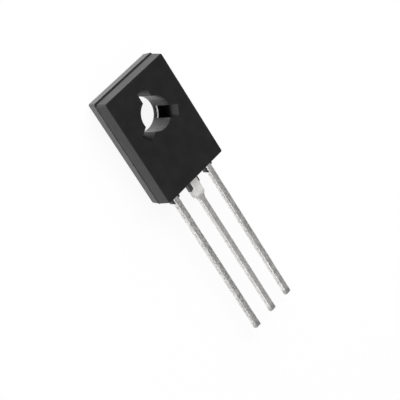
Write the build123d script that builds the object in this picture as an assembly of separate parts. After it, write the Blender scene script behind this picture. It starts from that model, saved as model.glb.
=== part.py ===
from build123d import *
import os
from math import radians, tan

# Power transistor in a moulded TO-126 (SOT-32) case, lying on its heat-sink face.
#
# Origin: where the axis of the screw hole meets the heat-sink face.
# +Z points to the plain front face and -Y the way the leads run.
# Lengths are in millimetres and angles in degrees.

# Case, an epoxy moulding in two drafted halves
case_width = 7.5            # across the parting plane
case_height = 10.75         # along the leads, at the parting plane
case_thickness = 2.53       # heat-sink face to front face
parting_height = 1.02       # heat-sink face to parting plane, where the leads come out
side_draft = 3.5            # lean of the two long sides
end_draft = 2.0             # lean of the top and bottom ends
case_corner_radius = 0.15   # upright corners
case_rim_radius = 0.08      # rims of the front and back faces
top_step = 0.1              # how far the back half stands out beyond the front half at the top end
groove_width = 0.23         # groove over that step, in the front half
groove_depth = 0.2

# Screw hole, with the notches left by the keys that hold the plate down in the mould
hole_to_top = 3.75          # hole axis to the top end of the front half
hole_radius = 1.56
hole_lining = 0.12          # plastic between the hole and the plate
notch_floor = 0.24          # height at which the notches stop in that lining
notch_count = 3
notch_width = 1.08
notch_depth = 0.86          # how far a notch runs out beyond the hole's wall

# Stamped lead frame: one gauge for the plate and all three leads
frame_gauge = 0.5
punch_break = 0.06          # how much the punched hole in the plate widens towards the front
plate_width = 6.1
plate_top_margin = 0.8      # plastic above the plate
plate_corner_radius = 0.3
crank_angle = 45.0          # slope of the neck that lifts the middle lead off the plate

lead_width = 0.75
lead_pitch = 2.29
lead_length = 15.6          # bottom end of the case to the tips
shoulder_width = 1.27       # middle lead close to the case
shoulder_length = 2.1       # bottom end of the case to the end of that shoulder
shoulder_chamfer = 0.2

pad_width = 1.5             # inner end of each outer lead, where its wire is bonded
pad_length = 1.3
pad_cover = 0.75            # plastic between that pad and the bottom end

# Flash: plastic left beside the leads where they come out, one length for each lead
bite_depth = 0.33           # cut in the left side of the shoulder, which flash fills
left_flash_lengths = (0.87, 1.15, 1.0)
left_flash_width = 0.18
right_flash_lengths = (0.65, 0.95, 0.6)
right_flash_width = 0.08
flash_slope = 0.15          # how much shorter one edge of a flash is than the other

# Chip, its solder and its two wires
die_size = 1.8
die_thickness = 0.25
solder_margin = 0.1         # solder showing around the chip
solder_thickness = 0.05
solder_clearance = 0.35     # bare plate from the solder to its hole, and to the cranked neck
wire_radius = 0.1

# Places worked out from those sizes
top_y = hole_to_top
bottom_y = hole_to_top - case_height
tip_y = bottom_y - lead_length
lead_front = parting_height + frame_gauge
lead_places = (-lead_pitch, 0.0, lead_pitch)
pad_y = bottom_y + pad_cover + pad_length / 2
plate_hole_radius = hole_radius + hole_lining

solder_size = die_size + 2 * solder_margin
solder_top = frame_gauge + solder_thickness
die_top = solder_top + die_thickness
die_y = -(plate_hole_radius + solder_clearance + solder_size / 2)

bend_shift = frame_gauge * tan(radians(crank_angle / 2))
crank_run = parting_height / tan(radians(crank_angle))
plate_top_y = top_y - plate_top_margin
plate_bottom_y = die_y - solder_size / 2 - solder_clearance - bend_shift
crank_end_y = plate_bottom_y - crank_run

notch_reach = hole_radius + notch_depth
notch_step = 360 / notch_count


def block(low, high):
    """A box between two opposite corners."""
    size = [high[axis] - low[axis] for axis in range(3)]
    centre = [(high[axis] + low[axis]) / 2 for axis in range(3)]
    return Pos(*centre) * Box(*size)


def lead_block(low_x, high_x, low_y, high_y):
    """A box as thick as the lead frame, at the height of the leads."""
    return block((low_x, low_y, parting_height), (high_x, high_y, lead_front))


def case_half(face_height, high_y):
    """One half of the case: from the parting plane, where its top end is at high_y, to its face."""
    rise = abs(face_height - parting_height)
    length = high_y - bottom_y
    face_width = case_width - 2 * rise * tan(radians(side_draft))
    face_length = length - 2 * rise * tan(radians(end_draft))
    at_parting = RectangleRounded(case_width, length, case_corner_radius)
    at_face = RectangleRounded(face_width, face_length, case_corner_radius)
    half = loft([Pos(0, 0, parting_height) * at_parting, Pos(0, 0, face_height) * at_face], ruled=True)
    rim = half.edges().filter_by_position(Axis.Z, face_height, face_height)
    return Pos(0, (high_y + bottom_y) / 2, 0) * fillet(rim, case_rim_radius)


def screw_hole():
    """The space of the hole in the plastic: the bore, and the notches that bare the plate."""
    space = Pos(0, 0, case_thickness / 2) * Cylinder(hole_radius, 2 * case_thickness)
    low = (0, -notch_width / 2, notch_floor)
    high = (notch_reach, notch_width / 2, 2 * case_thickness)
    key = block(low, high)
    for index in range(notch_count):
        space += Rot(0, 0, 90 + index * notch_step) * key
    return space


def parting_groove():
    """The space of the groove in the front half, along the parting plane of the top end."""
    low = (-case_width, top_y - groove_depth, parting_height)
    high = (case_width, top_y + groove_depth, parting_height + groove_width)
    return block(low, high)


def flash(long_x, short_x, length):
    """Plastic as thick as a lead, from inside the case. Its end slopes from long_x to short_x."""
    root_y = bottom_y + frame_gauge
    end_y = bottom_y - length
    outline = Polyline(
        (long_x, root_y),
        (short_x, root_y),
        (short_x, end_y + flash_slope),
        (long_x, end_y),
        close=True,
    )
    return Pos(0, 0, parting_height) * extrude(make_face(outline), frame_gauge)


def bite_flash():
    """The flash that fills the bite in the left side of the middle lead's shoulder."""
    left_edge = -shoulder_width / 2
    return flash(left_edge, left_edge + bite_depth, left_flash_lengths[1])


def lead_flash():
    """The flash on both sides of all three leads."""
    pieces = [bite_flash()]
    for place, left_length, right_length in zip(lead_places, left_flash_lengths, right_flash_lengths):
        left_edge = place - lead_width / 2
        right_edge = place + lead_width / 2
        if place == 0:
            right_edge = shoulder_width / 2
        else:
            pieces.append(flash(left_edge, left_edge - left_flash_width, left_length))
        pieces.append(flash(right_edge, right_edge + right_flash_width, right_length))
    return pieces


def outer_lead(place):
    """An outer lead: a straight shank from its tip to the bond pad inside the case."""
    shank = lead_block(place - lead_width / 2, place + lead_width / 2, tip_y, pad_y)
    pad_low_y = pad_y - pad_length / 2
    pad = lead_block(place - pad_width / 2, place + pad_width / 2, pad_low_y, pad_low_y + pad_length)
    return shank + pad


def heat_sink_plate():
    """The plate that lies bare in the back of the case, with a punched hole for the screw."""
    outline = RectangleRounded(plate_width, plate_top_y - plate_bottom_y, plate_corner_radius)
    plate = extrude(Pos(0, (plate_top_y + plate_bottom_y) / 2) * outline, frame_gauge)
    punched = Cone(plate_hole_radius, plate_hole_radius + punch_break, frame_gauge)
    return plate - Pos(0, 0, frame_gauge / 2) * punched


def cranked_neck():
    """The neck from the plate up to the middle lead, of the same gauge on its slope.

    The bite goes on into it where the case is so short that the neck reaches the flash.
    """
    profile = Polyline(
        (plate_bottom_y, 0),
        (crank_end_y, parting_height),
        (crank_end_y, lead_front),
        (crank_end_y + bend_shift, lead_front),
        (plate_bottom_y + bend_shift, frame_gauge),
        close=True,
    )
    neck = extrude(Plane.YZ * make_face(profile), shoulder_width / 2, both=True)
    return neck - bite_flash()


def middle_lead():
    """The middle lead: a shoulder with a bite on its left, where flash fills it, then the shank."""
    half = shoulder_width / 2
    shoulder_end_y = bottom_y - shoulder_length
    shoulder = lead_block(-half, half, shoulder_end_y, crank_end_y)
    corners = shoulder.edges().filter_by(Axis.Z).group_by(Axis.Y)[0]
    shoulder = chamfer(corners, shoulder_chamfer)
    shank = lead_block(-lead_width / 2, lead_width / 2, tip_y, crank_end_y)
    return shoulder + shank - bite_flash()


def square_chip(size, low_z, thickness):
    """A square plate centred on the chip's place."""
    return Pos(0, die_y, low_z + thickness / 2) * Box(size, size, thickness)


def bond_wire(side):
    """A wire that loops from the chip (side is -1 for left, 1 for right) to that lead's pad."""
    start = Vector(side * die_size / 4, die_y, die_top)
    end = Vector(side * lead_pitch, pad_y, lead_front)
    along = Vector(end.X - start.X, end.Y - start.Y, 0)
    crest = (lead_front + case_thickness) / 2 - die_top
    upright = Plane(origin=start, x_dir=along, z_dir=along.cross(Vector(0, 0, 1)))
    corners = [(0, 0), (0, crest), (along.length, crest), (along.length, lead_front - die_top)]
    path = upright * FilletPolyline(*corners, radius=2 * wire_radius)
    section = Plane(origin=path @ 0, z_dir=path % 0) * Circle(wire_radius)
    return sweep(section, path)


def moulded_case(enclosed):
    """The whole moulding, with a space for each enclosed piece."""
    case = case_half(0, top_y + top_step) + case_half(case_thickness, top_y)
    case -= parting_groove()
    for piece in lead_flash():
        case += piece
    case -= screw_hole()
    for piece in enclosed:
        case -= piece
    return case


def main():
    os.makedirs("parts", exist_ok=True)
    nodes = {
        "collector_frame": heat_sink_plate() + cranked_neck() + middle_lead(),
        "emitter_lead": outer_lead(-lead_pitch),
        "base_lead": outer_lead(lead_pitch),
        "die_attach_solder": square_chip(solder_size, frame_gauge, solder_thickness),
        "silicon_die": square_chip(die_size, solder_top, die_thickness),
        "emitter_bond_wire": bond_wire(-1),
        "base_bond_wire": bond_wire(1),
    }
    nodes["moulded_case"] = moulded_case(list(nodes.values()))
    for name, piece in nodes.items():
        export_step(piece, f"parts/{name}.step")


main()
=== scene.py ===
"""Power transistor in a moulded TO-126 case: its finish, the light and the camera.

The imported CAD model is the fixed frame. The case, the collector frame and the two outer leads are
shown by refined copies with rounded edges, and the burr on the parting line is added. Lengths named
here are in millimetres and angles in degrees. MM turns millimetres into Blender's metres.
"""

import math
from typing import NamedTuple

import bmesh
import bpy
from mathutils import Matrix, Vector, noise

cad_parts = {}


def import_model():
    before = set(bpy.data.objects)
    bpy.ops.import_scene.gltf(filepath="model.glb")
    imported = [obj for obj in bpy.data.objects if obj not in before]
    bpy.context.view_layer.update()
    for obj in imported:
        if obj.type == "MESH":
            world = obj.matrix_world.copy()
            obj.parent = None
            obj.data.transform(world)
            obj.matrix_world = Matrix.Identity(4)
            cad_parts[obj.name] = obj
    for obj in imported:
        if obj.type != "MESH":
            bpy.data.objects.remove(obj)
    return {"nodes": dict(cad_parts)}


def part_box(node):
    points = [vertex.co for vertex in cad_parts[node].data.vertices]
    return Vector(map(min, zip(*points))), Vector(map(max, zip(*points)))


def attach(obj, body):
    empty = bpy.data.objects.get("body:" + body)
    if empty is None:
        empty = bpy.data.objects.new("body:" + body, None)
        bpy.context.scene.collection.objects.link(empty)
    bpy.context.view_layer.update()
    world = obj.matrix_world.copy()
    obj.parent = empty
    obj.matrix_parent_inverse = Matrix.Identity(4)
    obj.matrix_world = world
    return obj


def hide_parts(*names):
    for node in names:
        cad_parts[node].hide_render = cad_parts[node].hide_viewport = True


MM = 0.001

# Camera, placed round a point near the front face of the part
camera_target = (-0.08, -9.53, 1.0)
camera_distance = 128.2
camera_azimuth = -131.21        # 0 looks along +Y
camera_elevation = 52.72
camera_roll = 92.14             # the leads then run to the lower right of the picture
camera_lens = 130.2
camera_sensor = 36.0            # its width

# Studio
floor_radius = 400.0
floor_colour = 0.92
background_share = 0.9          # share of plain white in the floor that the camera sees
mirrored_share = 0.85           # the same in the floor that the part mirrors
sky_at_horizon = 0.95           # radiance
sky_overhead = 0.39
sky_break = 42.0                # elevation from which the sky is even
sky_on_right = 0.6              # share of its radiance that the sky keeps to the right of the part
sky_dims_from = 0.35            # sine of the angle to the right at which it starts to dim
sky_dims_to = 0.85              # and stops
softbox_distance = 260.0
key_azimuth = 152.0
key_elevation = 33.0
key_size = 280.0
key_radiance = 4.2
fill_azimuth = -28.0
fill_elevation = 54.0
fill_size = 130.0
fill_radiance = 1.4

# Case
case_top = 3.75                 # top end of its front half
case_bottom = -7.0              # the end that the leads come out of
case_edge_radius = 0.035
corner_radius = 0.15            # of its upright corners
corner_steps = 4                # of the burr round each of them
hole_radius = 1.56
notch_reach = 2.42              # hole axis to the end wall of a notch

# Burr, thin plastic squeezed out at the parting line
burr_reach = 0.04
burr_least = 0.25               # share of that reach that it has everywhere
burr_depth = 0.02               # how deep in the case it starts
burr_root_height = 0.05
burr_crest_height = 0.02
burr_step = 0.06                # between its sections
burr_pace = (2.3, 2.3, 2.3)     # how fast its reach changes, per millimetre

# Leads and plate
plate_front = 0.5               # height of the face that the notches bare
shoulder_bottom = -9.1          # where the middle lead narrows
shank_edge_radius = 0.18
tip_edge_radius = 0.07
shoulder_edge_radius = 0.1
plate_edge_radius = 0.03
ring_step = 0.15                # between the cuts that let a shank's surface wander
wave_depth = 0.025              # long waves in that surface
wave_pace = (1.6, 0.8, 1.6)     # how fast they change across, along and up, per millimetre
lump_depth = 0.015              # and the short ones
lump_pace = (4.0, 2.5, 4.0)
tip_dullness = 0.7              # length of the duller metal at each tip

# Meshes
sharp_angle = 30.0              # between two faces, from which an edge is rounded
flat_angle = 0.5                # between two faces, up to which they are one
same_place = 0.0005             # corners of a mesh nearer than this are one


class LeadLook(NamedTuple):
    """What is particular to the metal of one node."""

    round_end: float            # place along the leads where its shank stops being rounded
    tarnish: float              # share of grey in the dark parts of the tin's grain
    frost: float                # how matt and pale it is between its shank and the case


lead_looks = {
    "emitter_lead": LeadLook(round_end=-6.9, tarnish=0.65, frost=0.0),
    "collector_frame": LeadLook(round_end=-9.4, tarnish=0.35, frost=1.0),
    "base_lead": LeadLook(round_end=-6.9, tarnish=0.55, frost=0.0),
}


def direction(azimuth, elevation):
    """The unit vector from the part towards a place at that azimuth and elevation."""
    turn, rise = math.radians(azimuth), math.radians(elevation)
    return Vector((math.sin(turn) * math.cos(rise), -math.cos(turn) * math.cos(rise), math.sin(rise)))


def noise_share(place, pace):
    """Smooth noise from 0 to 1 at a place in millimetres, with a pace for each axis."""
    return noise.noise([value * factor for value, factor in zip(place, pace)]) * 0.5 + 0.5


class Recipe:
    """Writes one node tree with short calls. Each input is a socket or a plain value."""

    def __init__(self, tree):
        self.tree = tree
        self.tree.nodes.clear()

    def put(self, socket, value):
        """Links a socket to this one, or sets it to a plain value."""
        if isinstance(value, bpy.types.NodeSocket):
            self.tree.links.new(value, socket)
        else:
            socket.default_value = value

    def add(self, kind, inputs=None, **settings):
        """A new node of that kind."""
        node = self.tree.nodes.new(kind)
        for name, value in settings.items():
            setattr(node, name, value)
        for name, value in (inputs or {}).items():
            self.put(node.inputs[name], value)
        return node

    def place(self, stretch=(1, 1, 1)):
        """Places on the part in millimetres, times a stretch for each axis."""
        where = self.add("ShaderNodeTexCoord").outputs["Object"]
        scale = [factor / MM for factor in stretch]
        return self.add("ShaderNodeMapping", {"Vector": where, "Scale": scale}).outputs["Vector"]

    def axis(self, vector, name):
        """One number of a vector."""
        return self.add("ShaderNodeSeparateXYZ", {"Vector": vector}).outputs[name]

    def length(self, vector):
        """The length of a vector."""
        return self.add("ShaderNodeVectorMath", {"Vector": vector}, operation="LENGTH").outputs["Value"]

    def noise(self, where, scale=1.0, detail=2.0, roughness=0.5):
        """Noise whose values lie mostly between 0.3 and 0.7."""
        inputs = {"Vector": where, "Scale": scale, "Detail": detail, "Roughness": roughness}
        return self.add("ShaderNodeTexNoise", inputs).outputs["Fac"]

    def spread(self, value, low, high, to_low=0.0, to_high=1.0):
        """The value, from low to high turned into to_low to to_high and held there."""
        inputs = {"Value": value, "From Min": low, "From Max": high, "To Min": to_low, "To Max": to_high}
        return self.add("ShaderNodeMapRange", inputs, clamp=True).outputs["Result"]

    def even_out(self, value, to_low=0.0, to_high=1.0, margin=0.3):
        """A noise, from margin to 1 - margin turned into to_low to to_high and held there."""
        return self.spread(value, margin, 1 - margin, to_low, to_high)

    def calculate(self, operation, first, second=0.0):
        """A sum, a product or the like of two numbers."""
        node = self.add("ShaderNodeMath", operation=operation)
        self.put(node.inputs[0], first)
        self.put(node.inputs[1], second)
        return node.outputs["Value"]

    def both(self, first, second):
        """How far both of two shares hold, as a share."""
        return self.calculate("MULTIPLY", first, second)

    def between(self, share, first, second):
        """The first number where the share is 0 and the second where it is 1."""
        return self.add("ShaderNodeMix", {"Factor": share, "A": first, "B": second}).outputs["Result"]

    def mix(self, share, first, second):
        """The first colour where the share is 0 and the second where it is 1."""
        # Sockets 6 and 7 take the colours: their names are those of the sockets for numbers
        node = self.add("ShaderNodeMix", data_type="RGBA")
        for place, value in ((0, share), (6, first), (7, second)):
            self.put(node.inputs[place], value)
        return node.outputs[2]

    def mix_shaders(self, share, first, second):
        """The first shader where the share is 0 and the second where it is 1."""
        node = self.add("ShaderNodeMixShader", {"Fac": share})
        self.put(node.inputs[1], first)
        self.put(node.inputs[2], second)
        return node.outputs["Shader"]

    def bump(self, height, depth, below=None):
        """Relief of that depth in millimetres, on top of the relief below it."""
        node = self.add("ShaderNodeBump", {"Height": height, "Distance": depth * MM})
        if below is not None:
            self.put(node.inputs["Normal"], below)
        return node.outputs["Normal"]

    def finish(self, inputs):
        """The surface, from the inputs of its shader."""
        shader = self.add("ShaderNodeBsdfPrincipled", inputs)
        self.add("ShaderNodeOutputMaterial", {"Surface": shader.outputs["BSDF"]})


def new_material(name):
    material = bpy.data.materials.new(name)
    material.use_nodes = True
    return material, Recipe(material.node_tree)


def grey(value, warmth=0.0):
    return (value * (1 + warmth), value, value * (1 - warmth), 1.0)


def case_epoxy(parting_height):
    """Black epoxy, fine and dark on the front and back, duller and paler on the sides, partly by painted
    sheen.

    The sides of the back half are the palest, a painted reflection of the pale floor. Then come the
    wall of the hole, with the drag marks of the pin that formed it on a tone lifted by painted sheen,
    and the top end, painted sheen as well, and the flash. In a notch the walls are smooth by the hole
    and duller farther out, and the end wall is smooth again.
    """
    material, make = new_material("case_epoxy")
    where = make.place()
    along = make.axis(where, "Y")
    height = make.axis(where, "Z")
    radius = make.length(make.place((1, 1, 0)))
    facing_up = make.axis(make.add("ShaderNodeNewGeometry").outputs["Normal"], "Z")

    side = make.spread(make.calculate("ABSOLUTE", facing_up), 0.3, 0.7, 1.0, 0.0)
    not_underside = make.spread(facing_up, -0.7, -0.3)
    low = make.spread(height, parting_height - 0.03, parting_height + 0.01, 1.0, 0.0)
    # Painted reflection of the pale floor: the back half, except its underside, is given a paler tone
    back_half_sheen = make.both(low, not_underside)
    # Painted sheen on the top end; the flash below the case is simply paler
    top_end_sheen = make.both(make.spread(along, case_top - 0.35, case_top - 0.15), side)
    flash = make.spread(along, case_bottom - 0.05, case_bottom - 0.15)
    pale = make.calculate("MAXIMUM", top_end_sheen, flash)
    notch = make.both(make.spread(radius, notch_reach + 0.18, notch_reach + 0.28, 1.0, 0.0), side)
    end_wall = make.spread(radius, notch_reach - 0.08, notch_reach - 0.02)
    bore = make.both(make.spread(radius, hole_radius + 0.03, hole_radius + 0.06, 1.0, 0.0), side)
    bore = make.both(bore, make.spread(height, 0.05, 0.25))

    grain = make.noise(where, 15.0, detail=3.0, roughness=0.6)
    haze = make.noise(where, 0.9, detail=3.0)
    drag = make.noise(make.place((7.0, 7.0, 0.5)))
    specks = make.spread(make.noise(where, 30.0, detail=1.0), 0.68, 0.75, 0.0, 0.1)

    mottle = make.even_out(grain)
    colour = make.mix(make.even_out(haze), grey(0.003), grey(0.007))
    # Paler tones: sides partly painted sheen, top end painted sheen, flash plain, back half painted
    # reflection; notches stay dark
    for share, dark, light in (
        (side, 0.006, 0.02),
        (pale, 0.025, 0.06),
        (back_half_sheen, 0.065, 0.14),
        (notch, 0.007, 0.018),
    ):
        colour = make.mix(share, colour, make.mix(mottle, grey(dark), grey(light)))
    # The hole's wall: real drag marks of the pin on a paler tone that is painted sheen; it keeps the side
    # tone near the back
    drag_marks_and_sheen = make.mix(make.even_out(drag, margin=0.35), grey(0.04), grey(0.09))
    colour = make.mix(bore, colour, drag_marks_and_sheen)
    colour = make.mix(specks, colour, grey(0.4))

    smooth, dull = 0.22, 0.6
    notch_sides = make.spread(radius, hole_radius + 0.14, notch_reach - 0.12, smooth, dull)
    notch_walls = make.between(end_wall, notch_sides, smooth)
    roughness = make.between(notch, make.even_out(haze, 0.36, 0.44), notch_walls)
    roughness = make.between(bore, roughness, make.even_out(drag, 0.25, 0.35))
    make.finish({
        "Base Color": colour,
        "Roughness": roughness,
        "IOR": 1.46,
        "Normal": make.bump(grain, 0.004),
    })
    return material


def tinned_copper(name, tip, look):
    """Dull tin dipped over stamped copper: drawn streaks, blotches and a tarnished grain.

    It is duller at the tip, and the front of the plate, which the notches bare, is painted dark as the
    shade in the notches. A frosted node is pale and matt from its shank up to the case.
    """
    material, make = new_material(name)
    where = make.place()
    along = make.axis(where, "Y")
    height = make.axis(where, "Z")
    streaks = make.noise(make.place((4.5, 0.16, 4.5)), detail=3.0)
    hairlines = make.noise(make.place((30.0, 0.6, 30.0)))
    blotches = make.noise(where, 1.7, detail=4.0, roughness=0.6)
    grain = make.noise(make.place((9.0, 4.5, 9.0)), detail=3.0, roughness=0.65)

    above_shank = make.spread(along, shoulder_bottom, shoulder_bottom + 0.4, 0.0, look.frost)
    out_of_case = make.spread(along, case_bottom + 0.3, case_bottom)
    frosted = make.both(above_shank, out_of_case)
    tarnished = make.spread(grain, 0.56, 0.44, 0.0, look.tarnish)
    tarnished = make.both(tarnished, make.between(frosted, 1.0, 0.3))
    dull_tip = make.spread(along, tip + tip_dullness, tip + tip_dullness / 2, 0.0, 0.6)
    # Painted shade: the front of the plate that the notches bare is made dark, for the shade in the
    # notches
    above_back = make.spread(height, plate_front - 0.08, plate_front)
    below_leads = make.spread(height, plate_front + 0.1, plate_front + 0.3, 1.0, 0.0)
    bared_face_shade = make.both(above_back, below_leads)

    tone = make.calculate("ADD", streaks, blotches)
    colour = make.mix(make.spread(tone, 0.75, 1.2), grey(0.82, 0.01), grey(0.98, 0.012))
    colour = make.mix(tarnished, colour, grey(0.3, 0.01))
    colour = make.mix(dull_tip, colour, grey(0.3, 0.01))
    colour = make.mix(bared_face_shade, colour, grey(0.03))
    make.finish({
        "Base Color": colour,
        "Metallic": make.between(frosted, 1.0, 0.45),
        "Roughness": make.between(frosted, make.even_out(streaks, 0.4, 0.28), 0.7),
        "Normal": make.bump(grain, 0.02, make.bump(hairlines, 0.005)),
    })
    return material


def solder_metal():
    """Solder that has flowed: a soft sheen with shallow waves."""
    material, make = new_material("solder")
    waves = make.noise(make.place(), 3.5)
    make.finish({
        "Base Color": make.mix(make.even_out(waves, margin=0.35), grey(0.5), grey(0.68)),
        "Metallic": 1.0,
        "Roughness": make.even_out(waves, 0.25, 0.4),
        "Normal": make.bump(waves, 0.02),
    })
    return material


def silicon():
    """Silicon with sawn sides: dark blue-grey with a faint grain."""
    material, make = new_material("silicon")
    saw_marks = make.noise(make.place((2.0, 2.0, 60.0)))
    dark, pale = (0.06, 0.065, 0.075, 1.0), (0.13, 0.135, 0.15, 1.0)
    make.finish({
        "Base Color": make.mix(make.even_out(saw_marks, margin=0.35), dark, pale),
        "Metallic": 0.6,
        "Roughness": make.even_out(saw_marks, 0.2, 0.35),
        "Normal": make.bump(saw_marks, 0.003),
    })
    return material


def aluminium_wire():
    """Drawn aluminium: bright, with fine lines."""
    material, make = new_material("bond_wire")
    lines = make.noise(make.place(), 18.0)
    make.finish({
        "Base Color": make.mix(make.even_out(lines, margin=0.35), grey(0.72), grey(0.9)),
        "Metallic": 1.0,
        "Roughness": make.even_out(lines, 0.25, 0.38),
        "Normal": make.bump(lines, 0.002),
    })
    return material


def clean_copy(node):
    """A CAD node's mesh with its split corners joined and its flat faces made whole."""
    mesh = bmesh.new()
    mesh.from_mesh(node.data)
    bmesh.ops.remove_doubles(mesh, verts=mesh.verts, dist=same_place * MM)
    limit = math.radians(flat_angle)
    bmesh.ops.dissolve_limit(mesh, angle_limit=limit, verts=mesh.verts, edges=mesh.edges)
    return mesh


def round_edges(mesh, radius, segments, low=-math.inf, high=math.inf):
    """Rounds the sharp edges whose middle lies between two places along the leads."""
    limit = math.radians(sharp_angle)
    edges = []
    for edge in mesh.edges:
        middle = (edge.verts[0].co.y + edge.verts[1].co.y) / 2 / MM
        if low < middle < high and len(edge.link_faces) == 2 and edge.calc_face_angle() > limit:
            edges.append(edge)
    shape = {"offset": radius * MM, "segments": segments, "profile": 0.5, "clamp_overlap": True}
    bmesh.ops.bevel(mesh, geom=edges, affect="EDGES", **shape)


def cut_ring(mesh, place):
    """Cuts a lead across its length."""
    geometry = mesh.verts[:] + mesh.edges[:] + mesh.faces[:]
    bmesh.ops.bisect_plane(mesh, geom=geometry, plane_co=(0, place * MM, 0), plane_no=(0, 1, 0))


def make_uneven(mesh, high):
    """Lets the surface of a lead sink here and there, below a place along the leads."""
    mesh.normal_update()
    for vertex in mesh.verts:
        if vertex.co.y < high * MM:
            place = vertex.co / MM
            sunk = noise_share(place, wave_pace) * wave_depth + noise_share(place, lump_pace) * lump_depth
            vertex.co -= vertex.normal * sunk * MM


def add_piece(name, mesh, material, slot_name, *replaced):
    """Puts a finished mesh in the scene as a piece that rides on the part."""
    data = bpy.data.meshes.new(name)
    mesh.to_mesh(data)
    mesh.free()
    data.materials.append(material)
    data.shade_smooth()
    piece = bpy.data.objects.new(name, data)
    bpy.context.scene.collection.objects.link(piece)
    piece.modifiers.new("even_normals", "WEIGHTED_NORMAL")
    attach(piece, "root")
    if replaced:
        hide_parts(*replaced)


def add_case(nodes, epoxy):
    """The case, with its edges rounded."""
    case = clean_copy(nodes["moulded_case"])
    round_edges(case, case_edge_radius, 2)
    add_piece("case", case, epoxy, "case_epoxy", "moulded_case")


def add_metal(nodes):
    """The collector frame and the outer leads, with rounded edges and uneven shanks."""
    for name, look in lead_looks.items():
        metal = clean_copy(nodes[name])
        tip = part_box(name)[0].y / MM
        tip_edge = tip + tip_edge_radius
        tinned = tinned_copper(name + "_tin", tip, look)
        cut_ring(metal, look.round_end)
        round_edges(metal, shank_edge_radius, 4, low=tip_edge, high=look.round_end)
        round_edges(metal, tip_edge_radius, 2, high=tip_edge)
        round_edges(metal, shoulder_edge_radius, 3, low=shoulder_bottom - 0.1, high=case_bottom)
        round_edges(metal, plate_edge_radius, 2, low=case_bottom)
        ring_count = int((case_bottom - shank_edge_radius - tip) / ring_step)
        for index in range(ring_count):
            cut_ring(metal, case_bottom - index * ring_step)
        bmesh.ops.dissolve_degenerate(metal, dist=same_place * MM, edges=metal.edges)
        make_uneven(metal, case_bottom)
        add_piece(name + "_metal", metal, tinned, "tinned_copper", name)


def outline_points(low_x, high_x, low_y, high_y):
    """Points and outward directions down the left side, along the bottom end and up the right side."""
    points = []

    def straight(start, end, outward):
        count = max(1, round((end - start).length / burr_step))
        for index in range(count):
            points.append((start.lerp(end, index / count), outward))

    def corner(centre, first_angle):
        for index in range(corner_steps):
            angle = first_angle + index * math.pi / 2 / corner_steps
            outward = Vector((math.cos(angle), math.sin(angle)))
            points.append((centre + outward * corner_radius, outward))

    r = corner_radius
    straight(Vector((low_x, high_y)), Vector((low_x, low_y + r)), Vector((-1, 0)))
    corner(Vector((low_x + r, low_y + r)), math.pi)
    straight(Vector((low_x + r, low_y)), Vector((high_x - r, low_y)), Vector((0, -1)))
    corner(Vector((high_x - r, low_y + r)), 1.5 * math.pi)
    straight(Vector((high_x, low_y + r)), Vector((high_x, high_y)), Vector((1, 0)))
    return points


def add_burr(parting_height, epoxy):
    """A thin uneven fin of plastic along the parting line, which the top end alone doesn't have."""
    low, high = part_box("moulded_case")
    places = outline_points(low.x / MM, high.x / MM, case_bottom, high.y / MM - corner_radius)
    mesh = bmesh.new()
    rings = []
    for point, outward in places:
        wave = noise_share((point.x, point.y, 0.0), burr_pace)
        reach = burr_reach * (burr_least + (1 - burr_least) * wave)
        root = point - outward * burr_depth
        crest = point + outward * reach
        section = (
            (root.x, root.y, parting_height + burr_root_height / 2),
            (crest.x, crest.y, parting_height + burr_crest_height / 2),
            (crest.x, crest.y, parting_height - burr_crest_height / 2),
            (root.x, root.y, parting_height - burr_root_height / 2),
        )
        rings.append([mesh.verts.new(Vector(corner) * MM) for corner in section])
    for first, second in zip(rings, rings[1:]):
        for index in range(4):
            after = (index + 1) % 4
            mesh.faces.new((first[index], first[after], second[after], second[index]))
    mesh.faces.new(reversed(rings[0]))
    mesh.faces.new(rings[-1])
    bmesh.ops.recalc_face_normals(mesh, faces=mesh.faces)
    add_piece("parting_line_burr", mesh, epoxy, "case_epoxy")


def add_floor():
    """A pale matt floor. The camera sees it, and metal and plastic mirror it, as nearly white."""
    mesh = bmesh.new()
    bmesh.ops.create_circle(mesh, cap_ends=True, radius=floor_radius * MM, segments=96)
    data = bpy.data.meshes.new("floor")
    mesh.to_mesh(data)
    mesh.free()
    floor = bpy.data.objects.new("floor", data)
    bpy.context.scene.collection.objects.link(floor)

    material, make = new_material("floor")
    rays = make.add("ShaderNodeLightPath").outputs
    seen = make.calculate("MULTIPLY", rays["Is Camera Ray"], background_share)
    bounced = make.calculate("MAXIMUM", rays["Is Glossy Ray"], rays["Is Transmission Ray"])
    share = make.calculate("ADD", seen, make.calculate("MULTIPLY", bounced, mirrored_share))
    matte = make.add("ShaderNodeBsdfDiffuse", {"Color": grey(floor_colour)}).outputs["BSDF"]
    white = make.add("ShaderNodeEmission", {"Strength": 1.0}).outputs["Emission"]
    make.add("ShaderNodeOutputMaterial", {"Surface": make.mix_shaders(share, matte, white)})
    data.materials.append(material)


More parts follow.
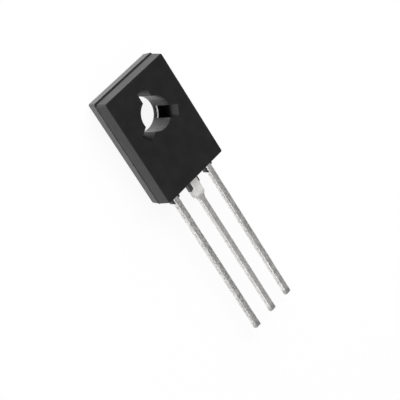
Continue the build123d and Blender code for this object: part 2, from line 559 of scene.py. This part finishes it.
def add_sky():
    """A pale sky, brightest at the horizon. The camera sees it as plain white."""
    world = bpy.data.worlds.new("sky")
    world.use_nodes = True
    bpy.context.scene.world = world
    make = Recipe(world.node_tree)
    towards = make.add("ShaderNodeTexCoord").outputs["Generated"]
    right = make.axis(towards, "X")
    up = make.axis(towards, "Z")
    radiance = make.spread(up, 0.0, math.sin(math.radians(sky_break)), sky_at_horizon, sky_overhead)
    dimming = make.spread(right, sky_dims_from, sky_dims_to, 1.0, sky_on_right)
    radiance = make.calculate("MULTIPLY", radiance, dimming)
    light = make.add("ShaderNodeBackground", {"Color": grey(1.0), "Strength": radiance})
    white = make.add("ShaderNodeBackground", {"Color": grey(1.0), "Strength": 1.0})
    seen = make.add("ShaderNodeLightPath").outputs["Is Camera Ray"]
    mixed = make.mix_shaders(seen, light.outputs["Background"], white.outputs["Background"])
    make.add("ShaderNodeOutputWorld", {"Surface": mixed})


def add_softbox(name, azimuth, elevation, size, radiance, mirrored=True):
    """A square softbox that faces the part, and whether the part mirrors it."""
    lamp = bpy.data.lights.new(name, "AREA")
    lamp.shape = "SQUARE"
    lamp.size = size * MM
    lamp.energy = radiance * math.pi * (size * MM) ** 2
    towards = direction(azimuth, elevation)
    softbox = bpy.data.objects.new(name, lamp)
    softbox.location = towards * softbox_distance * MM
    softbox.rotation_euler = towards.to_track_quat("Z", "Y").to_euler()
    softbox.visible_glossy = mirrored
    bpy.context.scene.collection.objects.link(softbox)


def add_camera():
    """The camera, turned to the part and rolled."""
    data = bpy.data.cameras.new("camera")
    data.sensor_width = camera_sensor
    data.lens = camera_lens
    data.clip_start = 10 * MM
    data.clip_end = 4 * floor_radius * MM
    camera = bpy.data.objects.new("camera", data)
    towards = direction(camera_azimuth, camera_elevation)
    camera.location = (Vector(camera_target) + towards * camera_distance) * MM
    level = towards.to_track_quat("Z", "Y").to_matrix()
    camera.rotation_euler = (level @ Matrix.Rotation(math.radians(camera_roll), 3, "Z")).to_euler()
    bpy.context.scene.collection.objects.link(camera)
    bpy.context.scene.camera = camera


def main():
    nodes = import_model()["nodes"]
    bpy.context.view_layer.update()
    bpy.context.scene.view_settings.view_transform = "Standard"
    parting_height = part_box("emitter_lead")[0].z / MM

    epoxy = case_epoxy(parting_height)
    add_case(nodes, epoxy)
    add_burr(parting_height, epoxy)
    add_metal(nodes)
    wire = aluminium_wire()
    for name, material in (
        ("die_attach_solder", solder_metal()),
        ("silicon_die", silicon()),
        ("emitter_bond_wire", wire),
        ("base_bond_wire", wire),
    ):
        nodes[name].material_slots[0].material = material

    add_floor()
    add_sky()
    add_softbox("key", key_azimuth, key_elevation, key_size, key_radiance, mirrored=False)
    add_softbox("fill", fill_azimuth, fill_elevation, fill_size, fill_radiance)
    add_camera()


main()
